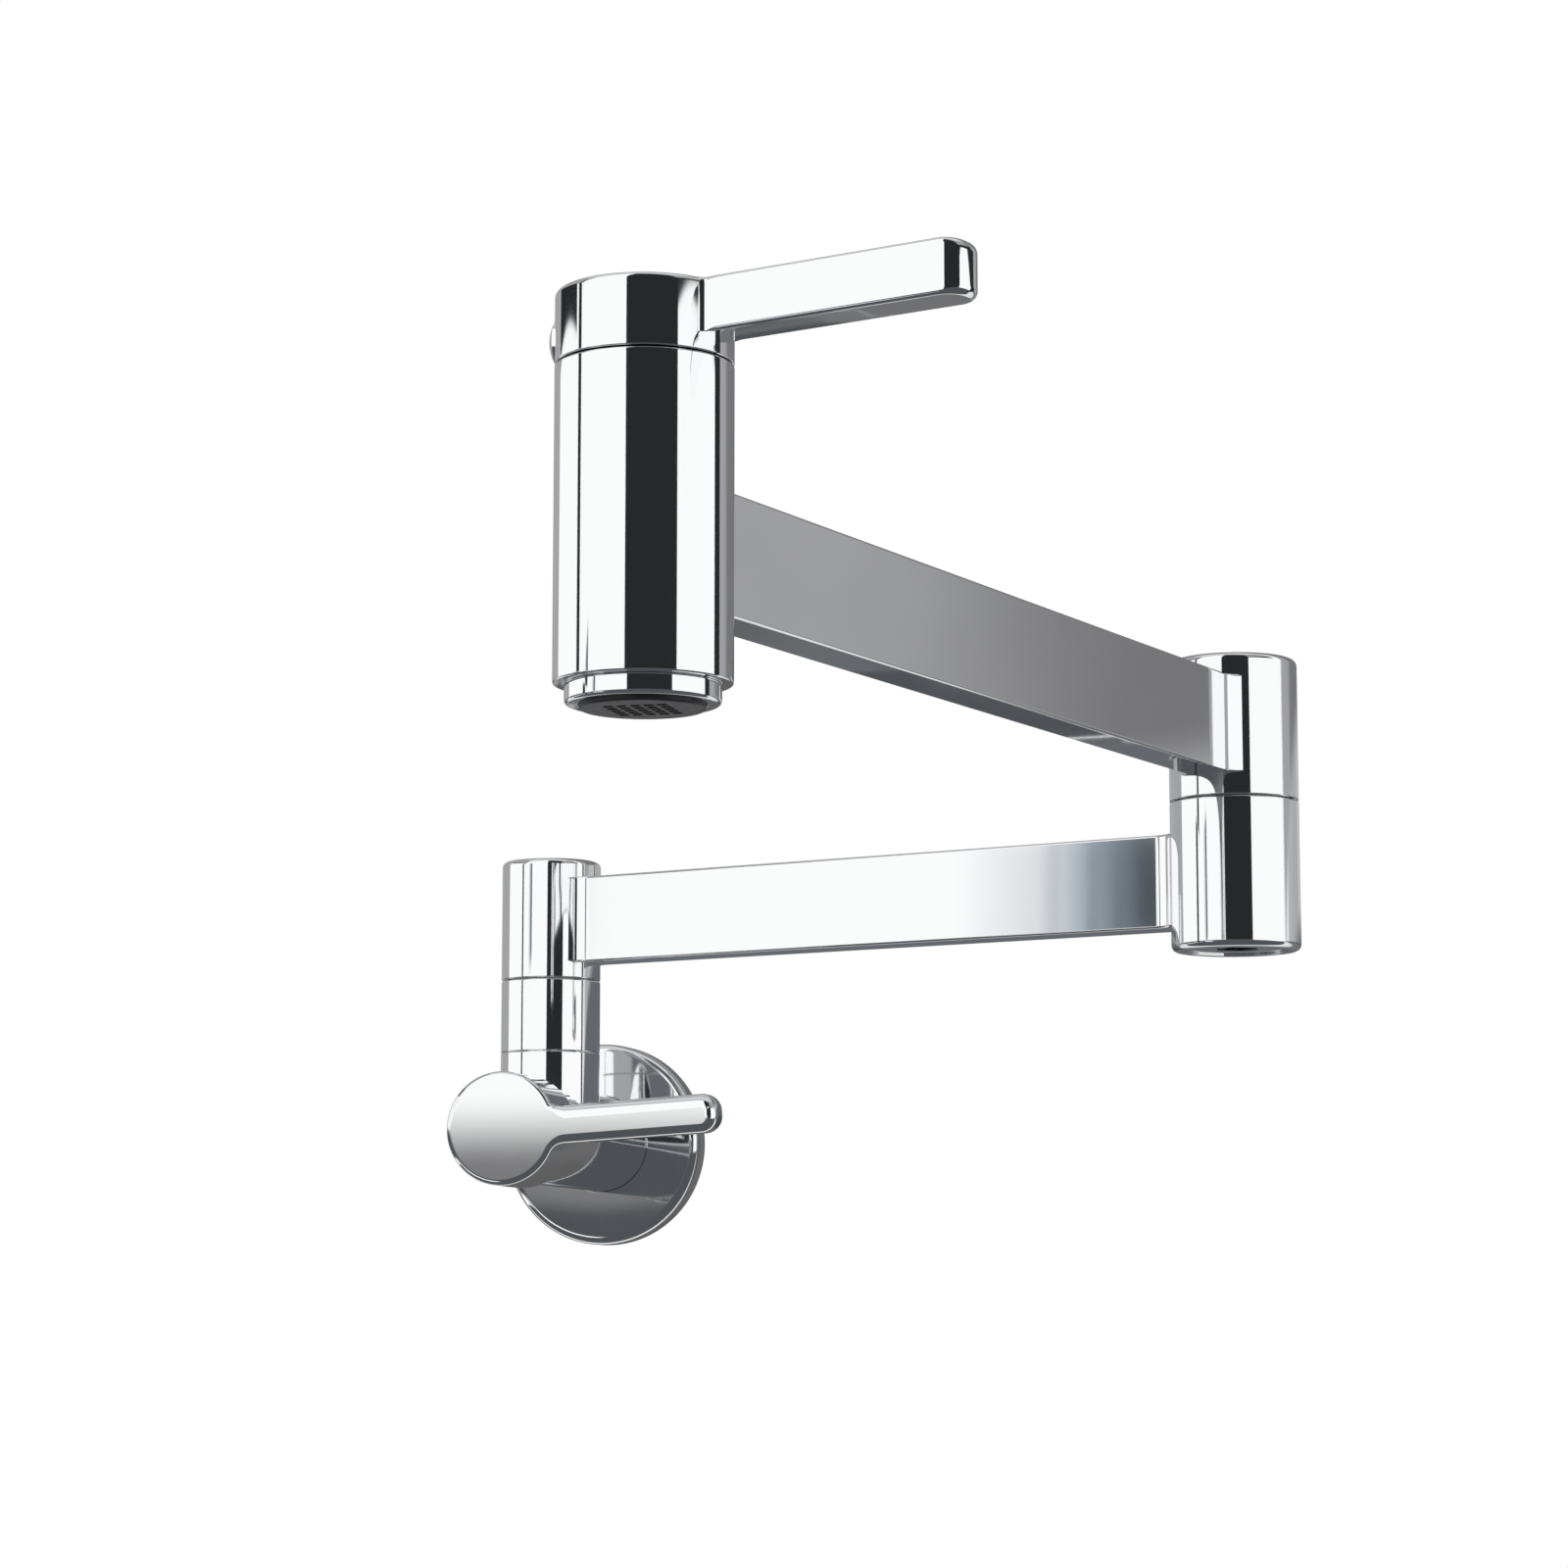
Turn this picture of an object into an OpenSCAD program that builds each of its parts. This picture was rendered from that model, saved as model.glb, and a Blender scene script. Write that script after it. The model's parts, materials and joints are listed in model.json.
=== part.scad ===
// Folding wall tap: two swinging arms, one lever valve at the wall and one at the spout.
// The origin is the centre of the inlet at the wall, +Z is up and the tap stands out along -Y.

/* [Posts] */
// Outside diameter of the barrel, the collar and the shoulder sleeve
post_d = 27; // [26:0.5:30]
// Outside diameter of both elbow sleeves
elbow_d = 32; // [31:0.5:36]
// Outside diameter of the spout body and its cap
spout_d = 34; // [33:0.5:38]
// Rounding of the free edges of the posts
post_edge = 1.8; // [0.5:0.1:2]
// Rounding of the edges that face each other at a seam
seam_edge = 0.35; // [0.2:0.05:0.5]

/* [Wall end] */
// Distance of the shoulder axis from the wall
shoulder_out = 56; // [52:1:60]
// Diameter of the cover plate on the wall
flange_d = 57; // [54:0.2:62]
// Depth of the cover plate
flange_depth = 8.2; // [7:0.1:10]
// Distance of the wall lever's flat face from the wall
hub_out = 99; // [97:0.5:104]
// Diameter of the wall lever's hub
hub_d = 30; // [29:0.5:33]
// Length of the wall lever's hub along its axis
hub_len = 19.7; // [18.5:0.1:20.5]

/* [Arms] */
// Distance between the shoulder axis and the elbow axis
lower_len = 206; // [150:1:260]
// Distance between the elbow axis and the spout axis
upper_len = 282; // [270:1:340]
// Height of the lower bar
lower_bar_h = 23.4; // [22:0.1:25]
// Height of the upper bar
upper_bar_h = 24.4; // [22:0.1:26]
// Thickness of the flat bars
bar_t = 11; // [10:0.5:12]
// Radius of the hollow blend where a bar meets a post
bar_blend = 7; // [4:0.5:9]
// Direction of the lower arm, counted from the wall's right hand side
lower_turn = -17; // [-60:1:0]
// Direction of the upper arm, counted the same way
upper_turn = -105; // [-130:1:-80]

/* [Levers] */
// Direction of the spout lever, counted from the wall's right hand side
spout_turn = -18; // [-40:1:0]
// Reach of the spout lever from its axis
spout_reach = 71.3; // [60:0.1:80]
// Height of the spout lever
spout_lever_h = 10.6; // [9:0.1:12]
// Width of the spout lever
spout_lever_w = 9.8; // [8:0.1:11]
// Tilt of the wall lever above level
wall_tilt = 3.5; // [0:0.5:6]
// Reach of the wall lever from its axis
wall_reach = 58.8; // [52:0.1:66]
// Height of the wall lever
wall_lever_h = 10.2; // [8:0.1:11]
// Depth of the wall lever
wall_lever_t = 9; // [8:0.1:10]

/* [Heights above the inlet axis] */
// Top of the barrel's stub, where the collar starts
stub_top = 22.4; // [22:0.1:24]
// Top of the collar, where the shoulder sleeve starts
collar_top = 42; // [41:0.5:43]
// Top of the shoulder sleeve
shoulder_top = 75; // [75:0.5:77]
// Middle of the lower bar
lower_mid = 58.2; // [57.5:0.1:59]
// Underside of the lower elbow sleeve
elbow_bottom = 40.2; // [39:0.1:42]
// Seam between the elbow sleeves
elbow_seam = 77.2; // [76.5:0.1:78]
// Top of the upper elbow sleeve
elbow_top = 112.9; // [112.5:0.1:114]
// Middle of the upper bar
upper_mid = 95; // [94.5:0.1:96]
// Underside of the spout body
spout_bottom = 66.7; // [64:0.1:68]
// Seam between the spout body and its cap
cap_seam = 127.3; // [126.5:0.1:128.5]
// Top of the cap
cap_top = 141.6; // [141:0.1:143]

/* [Outlet] */
// Diameter of the stepped ring at the outlet
outlet_d = 29.6; // [28.5:0.1:31]
// Height of the stepped ring that shows
outlet_h = 3.9; // [3:0.1:5]
// Diameter of the dark insert
insert_d = 24; // [22:0.5:25]
// How far the dark insert stands out of its ring
insert_proud = 0.9; // [0.5:0.1:1.5]

/* [Hidden] */
$fn = 96;
post_r = post_d / 2;
elbow_r = elbow_d / 2;
spout_r = spout_d / 2;
hub_r = hub_d / 2;
flange_r = flange_d / 2;

// Gaps: between pieces that turn on each other, between turning faces, and beside a seal
run_gap = 0.05;
face_gap = 0.3;
seal_gap = 0.02;
cut = 1;

// Inlet thread, drilled at its tapping size for a half inch pipe thread
inlet_r = 9.3;
inlet_depth = 18;
strainer_r = 7.6;
strainer_t = 1.2;
strainer_depth = 2.4;
strainer_hole_r = 0.8;
strainer_rings = 3;
strainer_pitch = 2.1;
way_r = 5.5;

// Cartridge, measured from its seat along its stem
seal_h = 3;
seal_bore_r = 4.4;
disc_r = 7.1;
disc_h = 3.5;
disc_hole_r = 5.6;
disc_web = 1.6;
cart_bore_r = 7.2;
cart_r = 9;
cart_thread_r = 11;
cart_foot = 0.4;
window_low = 10.6;
window_h = 5.2;
window_w = 9;
groove_mid = 17.8;
groove_depth = 0.4;
thread_low = 20;
thread_high = 28;
neck_low = 24;
cart_h = 34;
stem_r = 4.5;
spline_r = 4;
spline_teeth = 20;
spline_depth = 0.4;
spline_low = 36.5;
stem_h = 47;
driver_r = 5.4;
driver_h = 2;
guard_r = 6.8;
guard_low = 19.5;
guard_h = 2.4;
stem_ring_mid = 29;
clip_r = 6.2;
clip_t = 1;
clip_low = 34.3;
clip_groove_r = 3.7;
ring_thick = 1.2;
small_ring_thick = 0.6;
lever_face_above_seat = 57;
wall_seat = hub_out - lever_face_above_seat;
spout_seat = 88;
chamber_r = cart_thread_r;

// Swivel joints
spindle_wall = 3.5;
bush_h = 2;
bush_w = 3;
ring_gap_r = 1.5;
annulus_half = 5.5;
annulus_depth = 1.4;
washer_t = 1;
nut_h = 3;
cap_t = 2.8;
cap_rim = 2.4;
thread_step = 2;
port_r = 3.4;
port_roof = 1.6;
slot_w = 5;
slot_h = 10;
water_w = 5;
socket_depth = 9.2;
shoulder_pin_r = 9;
elbow_pin_r = 10.5;
plug_h = 4;
plug_inset = 0.5;
key_across = 10;
key_depth = 2.4;
elbow_room_r = 10;

// Levers
grub_r = 2;
grub_len = 6;
grub_key = 2;
grub_key_depth = 2;
button_r = 4.6;
button_proud = 1.4;
button_depth = 1.6;
button_turn = 200;
boss_r = 7.5;
lever_end_r = 4.3;
wall_end_r = 4.4;
wall_blend = 4;
cap_wall = 3;
cap_roof = 5.4;
hub_roof = 7;
grub_hole_gap = 0.1;
screw_inset = 5.5;
button_room = 0.35;
wall_screw_out = hub_out - hub_roof - screw_inset;
spout_screw_z = cap_seam + seam_edge + button_room + button_r;
lever_blend = 3;
blend_sink = 0.2;

// Outlet
outlet_thread_r = 13.6;
outlet_thread_h = 9.3;
outlet_washer_h = 2;
outlet_room = 11.5;
insert_h = 11;
insert_rim = 2.6;
mesh_pitch = 2.6;
mesh_hole = 1.9;
mesh_t = 3;

// Cover plate
plate_t = 2.5;
plate_edge = 2.4;
plate_hub_r = 17;
gasket_w = 3.4;
gasket_t = 2.4;
plate_ring_mid = 4;

shoulder_at = [0, -shoulder_out];
elbow_at = shoulder_at + lower_len * [cos(lower_turn), sin(lower_turn)];
spout_at = elbow_at + upper_len * [cos(upper_turn), sin(upper_turn)];
bend_steps = 6;

// Points of a round corner, from angle a to angle b
function bend(centre, r, a, b) = [
    for (i = [0 : bend_steps])
        let (t = a + (b - a) * i / bend_steps)
        centre + r * [cos(t), sin(t)]
];

// A plain ring or disc from one height to another
module ring(outer, inner, low, high) {
    translate([0, 0, low])
        difference() {
            cylinder(r = outer, h = high - low);
            if (inner > 0)
                translate([0, 0, -cut]) cylinder(r = inner, h = high - low + 2 * cut);
        }
}

// A solid post with rounded end edges
module post(r, low, high, low_edge, high_edge) {
    rotate_extrude()
        polygon(concat(
            [[0, low]],
            bend([r - low_edge, low + low_edge], low_edge, -90, 0),
            bend([r - high_edge, high - high_edge], high_edge, 0, 90),
            [[0, high]]
        ));
}

// A rubber ring with a round section that fills a groove from inner to outer
module oring(inner, outer, mid) {
    translate([0, 0, mid])
        rotate_extrude()
            translate([(inner + outer) / 2, 0]) circle(r = (outer - inner) / 2, $fn = 32);
}

// Turns a piece drawn upwards so that it stands out from the wall
module from_wall() {
    rotate([90, 0, 0]) children();
}

module at_wall_seat() {
    from_wall() translate([0, 0, wall_seat]) children();
}

module at_shoulder() {
    translate([shoulder_at.x, shoulder_at.y, 0]) children();
}

module at_elbow() {
    translate([elbow_at.x, elbow_at.y, 0]) children();
}

module at_spout() {
    translate([spout_at.x, spout_at.y, 0]) children();
}

module at_spout_seat() {
    at_spout() translate([0, 0, spout_seat]) rotate([0, 0, spout_turn]) children();
}

// Cartridge pieces, shared by both valves

module seat_seal() {
    ring(disc_r, seal_bore_r, 0, seal_h);
}

// Opening of a ceramic disc: two opposite quarters of a circle, kept apart by webs
module disc_windows() {
    for (turn = [0, 180])
        rotate(turn)
            intersection() {
                circle(r = disc_hole_r);
                translate([disc_web / 2, disc_web / 2]) square(disc_hole_r);
            }
}

module ceramic_disc(low, turn) {
    translate([0, 0, low])
        rotate([0, 0, turn])
            linear_extrude(disc_h)
                difference() {
                    circle(r = disc_r);
                    disc_windows();
                }
}

module fixed_disc() {
    ceramic_disc(seal_h, 0);
}

module moving_disc() {
    ceramic_disc(seal_h + disc_h + seal_gap, 0);
}

module cartridge_body() {
    difference() {
        union() {
            ring(cart_r, 0, cart_foot, cart_h);
            ring(cart_thread_r, 0, thread_low, thread_high);
        }
        translate([0, 0, -cut]) cylinder(r = cart_bore_r, h = neck_low + cut);
        cylinder(r = stem_r + run_gap, h = cart_h + cut);
        ring(cart_r + cut, cart_r - groove_depth, groove_mid - ring_thick, groove_mid + ring_thick);
        for (turn = [0, 90])
            rotate([0, 0, turn])
                translate([-cart_thread_r, -window_w / 2, window_low])
                    cube([2 * cart_thread_r, window_w, window_h]);
    }
}

module cartridge_oring() {
    oring(cart_r - groove_depth, chamber_r, groove_mid);
}

module spline(low, high) {
    translate([0, 0, low])
        linear_extrude(high - low)
            polygon([
                for (i = [0 : 2 * spline_teeth - 1])
                    let (r = i % 2 == 0 ? spline_r : spline_r - spline_depth)
                    r * [cos(180 * i / spline_teeth), sin(180 * i / spline_teeth)]
            ]);
}

module stem() {
    driver_low = seal_h + 2 * disc_h + seal_gap;
    groove_r = stem_r - 2 * small_ring_thick;
    difference() {
        union() {
            ring(driver_r, 0, driver_low, driver_low + driver_h);
            ring(stem_r, 0, driver_low, spline_low);
            ring(guard_r, 0, guard_low, guard_low + guard_h);
            spline(spline_low, stem_h);
        }
        ring(stem_r + cut, groove_r, stem_ring_mid - small_ring_thick, stem_ring_mid + small_ring_thick);
        ring(stem_r + cut, clip_groove_r, clip_low, clip_low + clip_t);
    }
}

module stem_oring() {
    oring(stem_r - 2 * small_ring_thick, stem_r, stem_ring_mid);
}

module stem_clip() {
    slot = clip_groove_r;
    difference() {
        ring(clip_r, clip_groove_r, clip_low, clip_low + clip_t);
        translate([0, -slot / 2, clip_low - cut]) cube([clip_r + cut, slot, clip_t + 2 * cut]);
    }
}

// Swivel pieces, measured at their real heights on the axis

// Spindle: thread below, a running part with two seal grooves, and a thread for the nut
module spindle(pin_r, base, seat, bore_top, room, mid) {
    nut_low = bore_top + washer_t;
    groove_half = ring_gap_r / 2 + seal_gap;
    difference() {
        union() {
            ring(pin_r + 0.5, 0, base, seat);
            ring(pin_r, 0, seat - cut, bore_top);
            ring(pin_r - thread_step, 0, seat, nut_low + nut_h);
        }
        translate([0, 0, base - cut])
            cylinder(r = pin_r - spindle_wall, h = mid + port_r + port_roof - base + cut);
        for (turn = [0, 90])
            rotate([0, 0, turn])
                translate([-elbow_r, 0, mid])
                    rotate([0, 90, 0]) cylinder(r = port_r, h = elbow_d);
        for (z = [seat + bush_h + room, bore_top - room])
            ring(pin_r + cut, pin_r - ring_gap_r, z - groove_half, z + groove_half);
    }
}

module spindle_orings(pin_r, seat, bore_top, room) {
    for (z = [seat + bush_h + room, bore_top - room])
        oring(pin_r - ring_gap_r, pin_r, z);
}

module thrust_bush(pin_r, seat) {
    ring(pin_r + bush_w, pin_r, seat, seat + bush_h - seal_gap);
}

module thrust_washer(pin_r, bore_top) {
    ring(pin_r + 1.2, pin_r - thread_step, bore_top + seal_gap, bore_top + washer_t);
}

module lock_nut(pin_r, bore_top) {
    low = bore_top + washer_t;
    difference() {
        translate([0, 0, low]) cylinder(r = pin_r + 0.6, h = nut_h, $fn = 6);
        translate([0, 0, low - cut]) cylinder(r = pin_r - thread_step, h = nut_h + 2 * cut);
    }
}

// Everything that is bored out of a sleeve that turns on a spindle
module sleeve_room(pin_r, low, seat, top, bore_top, mid, turn) {
    room_r = pin_r + cap_rim;
    translate([0, 0, low - cut]) cylinder(r = pin_r + run_gap, h = top - low + 2 * cut);
    translate([0, 0, low - cut])
        cylinder(r = pin_r + bush_w + run_gap, h = seat + bush_h + cut - low);
    translate([0, 0, bore_top]) cylinder(r = room_r, h = top - bore_top + cut);
    translate([0, 0, mid - annulus_half]) cylinder(r = pin_r + annulus_depth, h = 2 * annulus_half);
    water_slot(mid, turn);
}

// Way for the water from the middle of a post into a bar
module water_slot(mid, turn) {
    rotate([0, 0, turn])
        translate([0, -slot_w / 2, mid - slot_h / 2]) cube([elbow_d, slot_w, slot_h]);
}

module press_cap(pin_r, top) {
    post(pin_r + cap_rim, top - cap_t, top - 0.4, 0.2, 0.6);
}

function bore_top_of(top) = top - cap_t - washer_t - nut_h - 0.7;
shoulder_bore_top = bore_top_of(shoulder_top);
elbow_bore_top = bore_top_of(elbow_top);
shoulder_ring_room = 2.2;
elbow_ring_room = 2.6;

// Plan of a bar between two posts, with a hollow blend in each of its four corners
module bar_plan(length, start_r, end_r) {
    half = bar_t / 2;
    reach = half + bar_blend;
    start_x = sqrt(pow(start_r + bar_blend, 2) - pow(reach, 2));
    end_x = sqrt(pow(end_r + bar_blend, 2) - pow(reach, 2));
    start_k = start_r / (start_r + bar_blend);
    end_k = end_r / (end_r + bar_blend);
    difference() {
        polygon([
            [0, -half], start_k * [start_x, -reach], [start_x, -half],
            [length - end_x, -half], [length, 0] + end_k * [-end_x, -reach], [length, -half],
            [length, half], [length, 0] + end_k * [-end_x, reach], [length - end_x, half],
            [start_x, half], start_k * [start_x, reach], [0, half]
        ]);
        circle(r = start_r);
        translate([length, 0]) circle(r = end_r);
        for (side = [-1, 1]) {
            translate([start_x, side * reach]) circle(r = bar_blend);
            translate([length - end_x, side * reach]) circle(r = bar_blend);
        }
    }
}

module bar(length, start_r, end_r, mid, high) {
    difference() {
        translate([0, 0, mid - high / 2])
            linear_extrude(high) bar_plan(length, start_r, end_r);
        translate([0, -water_w / 2, mid - slot_h / 2])
            cube([length, water_w, slot_h]);
    }
}

// Screw without a head, lying along +X, with a six sided key hole in its outer end
module grub(start) {
    translate([start, 0, 0])
        rotate([0, 90, 0])
            difference() {
                cylinder(r = grub_r, h = grub_len);
                translate([0, 0, grub_len - grub_key_depth])
                    cylinder(d = grub_key, h = grub_key_depth + cut, $fn = 6);
            }
}

// Hollow inside a lever's cap, round the boss that takes the stem
module lever_room(room_r, low, roof) {
    translate([0, 0, low - cut])
        difference() {
            cylinder(r = room_r, h = roof - low + cut);
            cylinder(r = boss_r, h = roof - low + 2 * cut);
        }
    translate([0, 0, low - cut]) cylinder(r = spline_r + run_gap, h = roof - low + cut);
}

// Pieces at the wall

module wall_flange() {
    color("gainsboro")
        from_wall()
            rotate_extrude()
                polygon(concat(
                    [
                        [post_r + run_gap, 1], [plate_hub_r, 1],
                        [plate_hub_r, flange_depth - plate_t],
                        [flange_r - plate_t - gasket_w, flange_depth - plate_t],
                        [flange_r - plate_t - gasket_w, gasket_t],
                        [flange_r - plate_t, gasket_t], [flange_r - plate_t, 0], [flange_r, 0]
                    ],
                    bend([flange_r - plate_edge, flange_depth - plate_edge], plate_edge, 0, 90),
                    [
                        [post_r + run_gap, flange_depth],
                        [post_r + run_gap, plate_ring_mid + ring_thick],
                        [post_r + ring_gap_r + run_gap, plate_ring_mid + ring_thick],
                        [post_r + ring_gap_r + run_gap, plate_ring_mid - ring_thick],
                        [post_r + run_gap, plate_ring_mid - ring_thick]
                    ]
                ));
}

module flange_gasket() {
    color("dimgray")
        from_wall()
            ring(flange_r - plate_t, flange_r - plate_t - gasket_w, 0, gasket_t);
}

module flange_oring() {
    color("black")
        from_wall() oring(post_r, post_r + ring_gap_r + run_gap, plate_ring_mid);
}

module valve_body() {
    barrel_end = hub_out - hub_len - face_gap;
    color("gainsboro")
        difference() {
            union() {
                from_wall() post(post_r, 0, barrel_end, 0.2, seam_edge);
                at_shoulder() post(post_r, 0, stub_top, 0.2, seam_edge);
            }
            from_wall() {
                translate([0, 0, -cut]) cylinder(r = inlet_r, h = inlet_depth + cut);
                cylinder(r = strainer_r, h = inlet_depth + strainer_depth);
                cylinder(r = way_r, h = wall_seat + cut);
            }
            at_wall_seat() cylinder(r = chamber_r, h = barrel_end - wall_seat + cut);
            at_shoulder() {
                cylinder(r = way_r, h = stub_top + cut);
                translate([0, 0, stub_top - socket_depth])
                    cylinder(r = shoulder_pin_r + 0.5, h = socket_depth + cut);
            }
        }
}

module inlet_strainer() {
    color("silver")
        from_wall()
            difference() {
                ring(strainer_r, 0, inlet_depth + 0.6, inlet_depth + 0.6 + strainer_t);
                for (i = [0 : strainer_rings], k = [0 : max(0, 6 * i - 1)])
                    rotate([0, 0, i == 0 ? 0 : 60 * k / i])
                        translate([i * strainer_pitch, 0, inlet_depth])
                            cylinder(r = strainer_hole_r, h = 2 * strainer_t + cut, $fn = 24);
            }
}

module wall_seat_seal() {
    color("black") at_wall_seat() seat_seal();
}

module wall_cartridge_body() {
    color("goldenrod") at_wall_seat() cartridge_body();
}

module wall_fixed_disc() {
    color("white") at_wall_seat() fixed_disc();
}

module wall_cartridge_oring() {
    color("black") at_wall_seat() cartridge_oring();
}

module wall_moving_disc() {
    color("white") at_wall_seat() moving_disc();
}

module wall_stem() {
    color("goldenrod") at_wall_seat() stem();
}

module wall_stem_oring() {
    color("black") at_wall_seat() stem_oring();
}

module wall_stem_clip() {
    color("silver") at_wall_seat() stem_clip();
}

// Outline of the wall lever seen from the front: a bar with a round tip and a blend below
module wall_lever_plan() {
    half = wall_lever_h / 2;
    reach = half + wall_blend;
    root_r = hub_r - blend_sink;
    blend_x = sqrt(pow(root_r + wall_blend, 2) - pow(reach, 2));
    tip = wall_reach - wall_end_r;
    difference() {
        union() {
            polygon([
                [0, half], [0, -half], root_r / (root_r + wall_blend) * [blend_x, -reach],
                [blend_x, -half], [tip, -half], [tip, half]
            ]);
            for (side = [-1, 1])
                translate([tip, side * (half - wall_end_r)]) circle(r = wall_end_r);
            translate([tip, wall_end_r - half])
                square([wall_end_r, wall_lever_h - 2 * wall_end_r]);
        }
        translate([blend_x, -reach]) circle(r = wall_blend);
    }
}

module wall_lever() {
    low = hub_out - hub_len;
    color("gainsboro")
        from_wall()
            rotate([0, 0, wall_tilt])
                difference() {
                    union() {
                        post(hub_r, low, hub_out, seam_edge, seam_edge);
                        translate([0, 0, hub_out - wall_lever_t])
                            linear_extrude(wall_lever_t) wall_lever_plan();
                    }
                    lever_room(hub_r - cap_wall, low, hub_out - hub_roof);
                    translate([-hub_r - cut, 0, wall_screw_out])
                        rotate([0, 90, 0])
                            cylinder(r = grub_r + grub_hole_gap, h = hub_r + cut - spline_r + 0.5);
                }
}

module wall_lever_screw() {
    color("dimgray")
        from_wall()
            rotate([0, 0, wall_tilt + 180])
                translate([0, 0, wall_screw_out]) grub(spline_r);
}

// Shoulder

module swivel_collar() {
    color("gainsboro")
        at_shoulder()
            difference() {
                post(post_r, stub_top, collar_top, seam_edge, seam_edge);
                translate([0, 0, stub_top - cut])
                    cylinder(r = shoulder_pin_r + 0.5, h = collar_top - stub_top + 2 * cut);
            }
}

module shoulder_spindle() {
    color("goldenrod")
        at_shoulder()
            spindle(shoulder_pin_r, stub_top - socket_depth, collar_top, shoulder_bore_top,
                    shoulder_ring_room, lower_mid);
}

module shoulder_orings() {
    color("black")
        at_shoulder()
            spindle_orings(shoulder_pin_r, collar_top, shoulder_bore_top, shoulder_ring_room);
}

module shoulder_bush() {
    color("ivory") at_shoulder() thrust_bush(shoulder_pin_r, collar_top);
}

module shoulder_washer() {
    color("silver") at_shoulder() thrust_washer(shoulder_pin_r, shoulder_bore_top);
}

module shoulder_nut() {
    color("goldenrod") at_shoulder() lock_nut(shoulder_pin_r, shoulder_bore_top);
}

module shoulder_sleeve() {
    low = collar_top + face_gap;
    color("gainsboro")
        at_shoulder()
            difference() {
                post(post_r, low, shoulder_top, seam_edge, post_edge);
                sleeve_room(shoulder_pin_r, low, collar_top, shoulder_top, shoulder_bore_top,
                            lower_mid, lower_turn);
            }
}

module shoulder_cap() {
    color("gainsboro") at_shoulder() press_cap(shoulder_pin_r, shoulder_top);
}

module lower_arm_bar() {
    color("gainsboro")
        at_shoulder()
            rotate([0, 0, lower_turn]) bar(lower_len, post_r, elbow_r, lower_mid, lower_bar_h);
}

// Elbow

module elbow_lower_sleeve() {
    color("gainsboro")
        at_elbow()
            difference() {
                post(elbow_r, elbow_bottom, elbow_seam, post_edge, seam_edge);
                translate([0, 0, elbow_bottom - cut])
                    cylinder(r = elbow_room_r, h = elbow_seam - elbow_bottom + 2 * cut);
                translate([0, 0, elbow_bottom - cut])
                    cylinder(r = elbow_r - spindle_wall, h = plug_h + plug_inset + cut);
                translate([0, 0, elbow_seam - socket_depth])
                    cylinder(r = elbow_pin_r + 0.5, h = socket_depth + cut);
                water_slot(lower_mid, lower_turn + 180);
            }
}

module elbow_base_plug() {
    low = elbow_bottom + plug_inset;
    color("gainsboro")
        at_elbow()
            difference() {
                post(elbow_r - spindle_wall, low, low + plug_h, 0.4, 0.1);
                translate([0, 0, low - cut])
                    cylinder(d = key_across / cos(30), h = key_depth + cut, $fn = 6);
            }
}

module elbow_spindle() {
    color("goldenrod")
        at_elbow()
            spindle(elbow_pin_r, elbow_seam - socket_depth, elbow_seam, elbow_bore_top,
                    elbow_ring_room, upper_mid);
}

module elbow_orings() {
    color("black")
        at_elbow()
            spindle_orings(elbow_pin_r, elbow_seam, elbow_bore_top, elbow_ring_room);
}

module elbow_bush() {
    color("ivory") at_elbow() thrust_bush(elbow_pin_r, elbow_seam);
}

module elbow_washer() {
    color("silver") at_elbow() thrust_washer(elbow_pin_r, elbow_bore_top);
}

module elbow_nut() {
    color("goldenrod") at_elbow() lock_nut(elbow_pin_r, elbow_bore_top);
}

module elbow_upper_sleeve() {
    low = elbow_seam + face_gap;
    color("gainsboro")
        at_elbow()
            difference() {
                post(elbow_r, low, elbow_top, seam_edge, post_edge);
                sleeve_room(elbow_pin_r, low, elbow_seam, elbow_top, elbow_bore_top,
                            upper_mid, upper_turn);
            }
}

module elbow_cap() {
    color("gainsboro") at_elbow() press_cap(elbow_pin_r, elbow_top);
}

module upper_arm_bar() {
    color("gainsboro")
        at_elbow()
            rotate([0, 0, upper_turn]) bar(upper_len, elbow_r, spout_r, upper_mid, upper_bar_h);
}

// Spout

module spout_body() {
    color("gainsboro")
        at_spout()
            difference() {
                post(spout_r, spout_bottom, cap_seam, seam_edge, seam_edge);
                translate([0, 0, spout_seat]) cylinder(r = chamber_r, h = cap_seam - spout_seat + cut);
                translate([0, 0, spout_bottom]) cylinder(r = way_r, h = spout_seat - spout_bottom + cut);
                translate([0, 0, spout_bottom - cut])
                    cylinder(r = outlet_thread_r, h = outlet_room + cut);
                water_slot(upper_mid, upper_turn + 180);
            }
}

module spout_seat_seal() {
    color("black") at_spout_seat() seat_seal();
}

module spout_cartridge_body() {
    color("goldenrod") at_spout_seat() cartridge_body();
}

module spout_fixed_disc() {
    color("white") at_spout_seat() fixed_disc();
}

module spout_cartridge_oring() {
    color("black") at_spout_seat() cartridge_oring();
}

module spout_moving_disc() {
    color("white") at_spout_seat() moving_disc();
}

module spout_stem() {
    color("goldenrod") at_spout_seat() stem();
}

module spout_stem_oring() {
    color("black") at_spout_seat() stem_oring();
}

module spout_stem_clip() {
    color("silver") at_spout_seat() stem_clip();
}

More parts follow.
